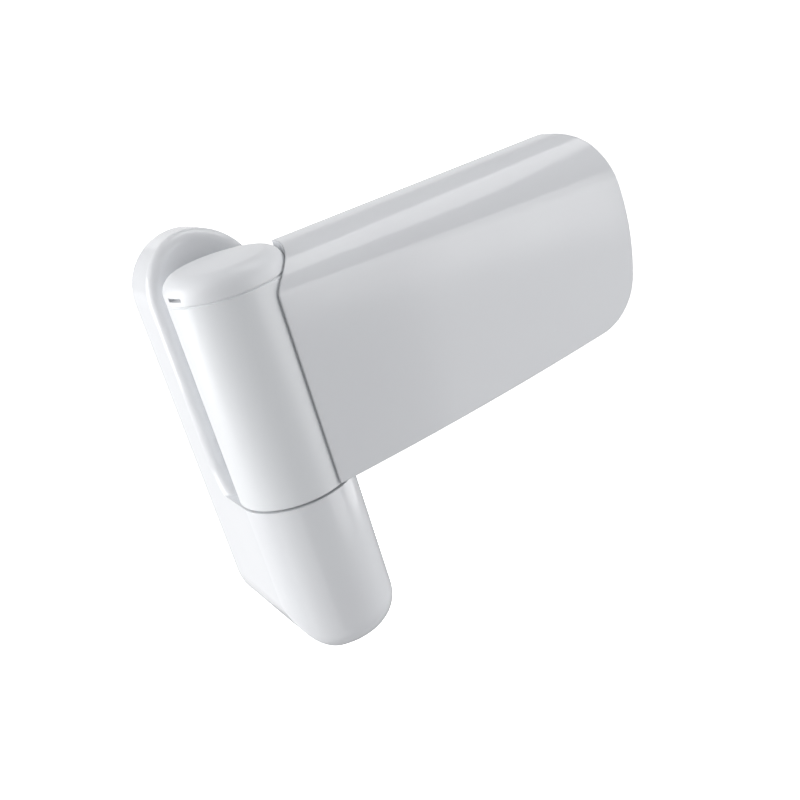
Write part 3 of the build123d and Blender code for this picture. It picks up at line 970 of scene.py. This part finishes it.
@dataclass(frozen=True)
class Studio:
    """A pale seamless floor that sweeps up all round the object, with soft light in it."""

    floor_level_mm: float = -450.0
    floor_radius_mm: float = 1600.0
    bend_radius_mm: float = 800.0
    wall_height_mm: float = 5200.0
    bend_steps: int = 24
    round_steps: int = 96
    seam_mm: float = 0.001
    paper: str = "#FFFFFF"
    paper_roughness: float = 0.95
    paper_glow: float = 1.0
    air: str = "#FBFCFF"
    air_strength: float = 0.31
    # Each with its bearing, its elevation and its watts
    lights: tuple[SoftBox, ...] = (
        SoftBox("key_softbox", 118.0, 8.0, 5.85, height_mm=750.0),
        SoftBox("side_softbox", 90.0, 22.0, 2.9, height_mm=1150.0),
        SoftBox("top_softbox", 285.0, 64.0, 2.2),
        SoftBox("back_reflector", 166.0, -17.0, 0.3),
        SoftBox("rear_softbox", 205.0, 8.0, 1.5, width_mm=900.0, height_mm=900.0),
        SoftBox("edge_softbox", 270.0, -10.0, 2.0),
        SoftBox("flag_end_softbox", 285.0, 10.0, 0.95),
        SoftBox("front_softbox", 330.0, -1.0, 1.0, width_mm=380.0, height_mm=380.0),
        SoftBox("low_front_softbox", 318.0, -10.0, 0.2),
        SoftBox(
            "near_reflector", 318.0, -15.0, 0.13, width_mm=200.0, height_mm=200.0, distance_mm=380.0
        ),
        SoftBox(
            "floor_reflector", 60.0, -45.0, 0.35, width_mm=400.0, height_mm=400.0, distance_mm=450.0
        ),
    )

    def build(self) -> None:
        """Makes the sweep, the air light and the softboxes."""
        self.build_sweep()
        world = bpy.data.worlds.new("studio_air")
        bpy.context.scene.world = world
        world.use_nodes = True
        world.node_tree.nodes.clear()
        air = add_node(
            world.node_tree,
            "Background",
            inputs={"Color": linear_colour(self.air), "Strength": self.air_strength},
        )
        add_node(world.node_tree, "OutputWorld", inputs={"Surface": air.outputs["Background"]})
        for light in self.lights:
            light.build()

    def build_sweep(self) -> None:
        """Turns the paper's section, from floor over bend to wall, once round the object.

        The paper is the view's ground only, so that the air and the softboxes alone light
        the object and show in its gloss.
        """
        mesh = bmesh.new()
        middle = mesh.verts.new((0, 0, self.floor_level_mm * MM))
        rim = self.draw_on(mesh, middle, (self.floor_radius_mm * MM, 0, 0))
        bend = bmesh.ops.spin(
            mesh,
            geom=[rim],
            cent=rim.co + Vector((0, 0, self.bend_radius_mm * MM)),
            axis=(0, -1, 0),
            angle=math.pi / 2,
            steps=self.bend_steps,
        )["geom_last"]
        self.draw_on(mesh, bend[0], (0, 0, self.wall_height_mm * MM))
        bmesh.ops.spin(
            mesh,
            geom=mesh.verts[:] + mesh.edges[:],
            cent=(0, 0, 0),
            axis=(0, 0, 1),
            angle=math.tau,
            steps=self.round_steps,
            use_merge=True,
        )
        bmesh.ops.remove_doubles(mesh, verts=mesh.verts, dist=self.seam_mm * MM)
        bmesh.ops.recalc_face_normals(mesh, faces=mesh.faces)
        for face in mesh.faces:
            face.smooth = True
        data = bpy.data.meshes.new("paper_sweep")
        mesh.to_mesh(data)
        mesh.free()
        sweep = bpy.data.objects.new("paper_sweep", data)
        bpy.context.scene.collection.objects.link(sweep)
        data.materials.append(self.paper_material())
        sweep.visible_diffuse = False
        sweep.visible_glossy = False
        sweep.visible_shadow = False

    @staticmethod
    def draw_on(
        mesh: bmesh.types.BMesh, end: bmesh.types.BMVert, step: tuple[float, float, float]
    ) -> bmesh.types.BMVert:
        """Carries the paper's section on from its end by a straight line.

        Args:
            mesh: the mesh that the section is drawn in.
            end: the point that it has reached.
            step: how far it goes on, in metres.

        Returns:
            The section's new end.
        """
        drawn = bmesh.ops.extrude_vert_indiv(mesh, verts=[end])["verts"]
        bmesh.ops.translate(mesh, verts=drawn, vec=step)
        return drawn[0]

    def paper_material(self) -> bpy.types.Material:
        """White background paper, matt, lit until it is as bright as a light table.

        Returns:
            The material.
        """
        paper = bpy.data.materials.new("background_paper")
        paper.use_nodes = True
        tree = paper.node_tree
        tree.nodes.clear()
        shader = add_node(
            tree,
            "BsdfPrincipled",
            inputs={
                "Base Color": linear_colour(self.paper),
                "Roughness": self.paper_roughness,
                "Specular IOR Level": 0.0,
                "Emission Color": linear_colour(self.paper),
                "Emission Strength": self.paper_glow,
            },
        )
        add_node(tree, "OutputMaterial", inputs={"Surface": shader.outputs["BSDF"]})
        return paper


@dataclass(frozen=True)
class PhotographCamera:
    """The photograph's camera: where it stands, how it is turned, and its lens."""

    place_mm: tuple[float, float, float] = (-63.939, -215.108, 85.129)
    azimuth: float = 25.6608
    elevation: float = 20.3517
    roll: float = 16.8116
    lens_mm: float = 47.7745
    sensor_mm: float = 36.0
    nearest_mm: float = 10.0
    farthest_mm: float = 20000.0

    def build(self) -> None:
        """Makes the camera and gives it to the scene."""
        data = bpy.data.cameras.new("photograph_camera")
        data.lens = self.lens_mm
        data.sensor_width = self.sensor_mm
        data.clip_start = self.nearest_mm * MM
        data.clip_end = self.farthest_mm * MM
        camera = bpy.data.objects.new("photograph_camera", data)
        bpy.context.scene.collection.objects.link(camera)
        turn, rise, roll = (math.radians(a) for a in (self.azimuth, self.elevation, self.roll))
        ahead = Vector(
            (math.sin(turn) * math.cos(rise), math.cos(turn) * math.cos(rise), -math.sin(rise))
        )
        level = ahead.cross(Vector((0, 0, 1))).normalized()
        down = ahead.cross(level)
        right = math.cos(roll) * level + math.sin(roll) * down
        up = math.sin(roll) * level - math.cos(roll) * down
        pose = Matrix((right, up, -ahead)).transposed().to_4x4()
        pose.translation = Vector(self.place_mm) * MM
        camera.matrix_world = pose
        bpy.context.scene.camera = camera


def main() -> None:
    """Builds the camera, the object's groups and the studio, in that order."""
    logging.basicConfig(level=logging.INFO, format="%(name)s: %(message)s")
    PhotographCamera().build()
    workshop = Workshop()
    groups: tuple[SubAssembly, ...] = (
        FrameLeaf(workshop),
        PinAndAdjuster(workshop),
        Flag(workshop),
        SashLeaf(workshop),
    )
    for group in groups:
        for piece in group.build():
            count = len(piece.data.vertices)
            log.info("%s: %s, %d vertices", type(group).__name__, piece.name, count)
    Studio().build()
    bpy.context.scene.view_settings.view_transform = "Standard"


if __name__ == "__main__":
    main()
